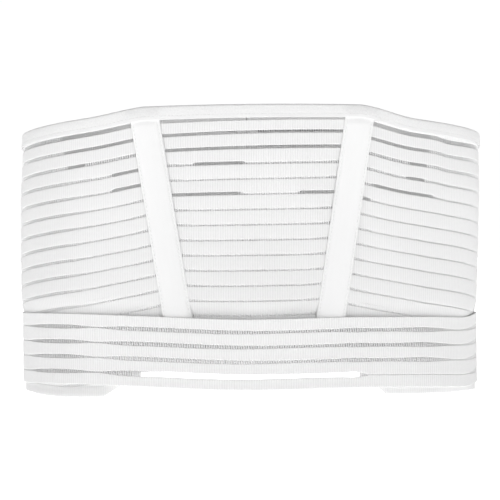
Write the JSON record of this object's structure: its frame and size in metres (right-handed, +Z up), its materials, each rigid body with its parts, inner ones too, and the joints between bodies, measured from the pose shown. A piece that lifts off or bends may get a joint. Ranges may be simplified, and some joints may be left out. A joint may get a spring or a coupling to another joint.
{
  "type": "maternity belt",
  "caption": "Standing loop of white slotted elastic with stay casings in a V at the back, a bound top edge and an outer lower band, worn round the hips to support the belly.",
  "frame": {"origin": "on the floor under the middle of the loop", "axes": "+Z up, +X to the wearer's right, +Y to the wearer's front, so the back panel faces -Y"},
  "size_m": [0.3429, 0.201, 0.2158],
  "materials": {
    "elastic": "white ribbed ladder elastic",
    "binding": "white woven binding tape, topstitched",
    "casing": "smooth white brushed tape with a soft sheen",
    "band_elastic": "white ribbed ladder elastic, coarser ribs",
    "closure": "white loop-pile fabric, matt"
  },
  "bodies": {
    "root": {"back_panel": "elastic", "left_wing": "elastic", "right_wing": "elastic", "top_hem": "binding", "left_stay_casing": "casing", "right_stay_casing": "casing", "lower_band": "band_elastic", "front_closure": "closure"}
  },
  "joints": []
}
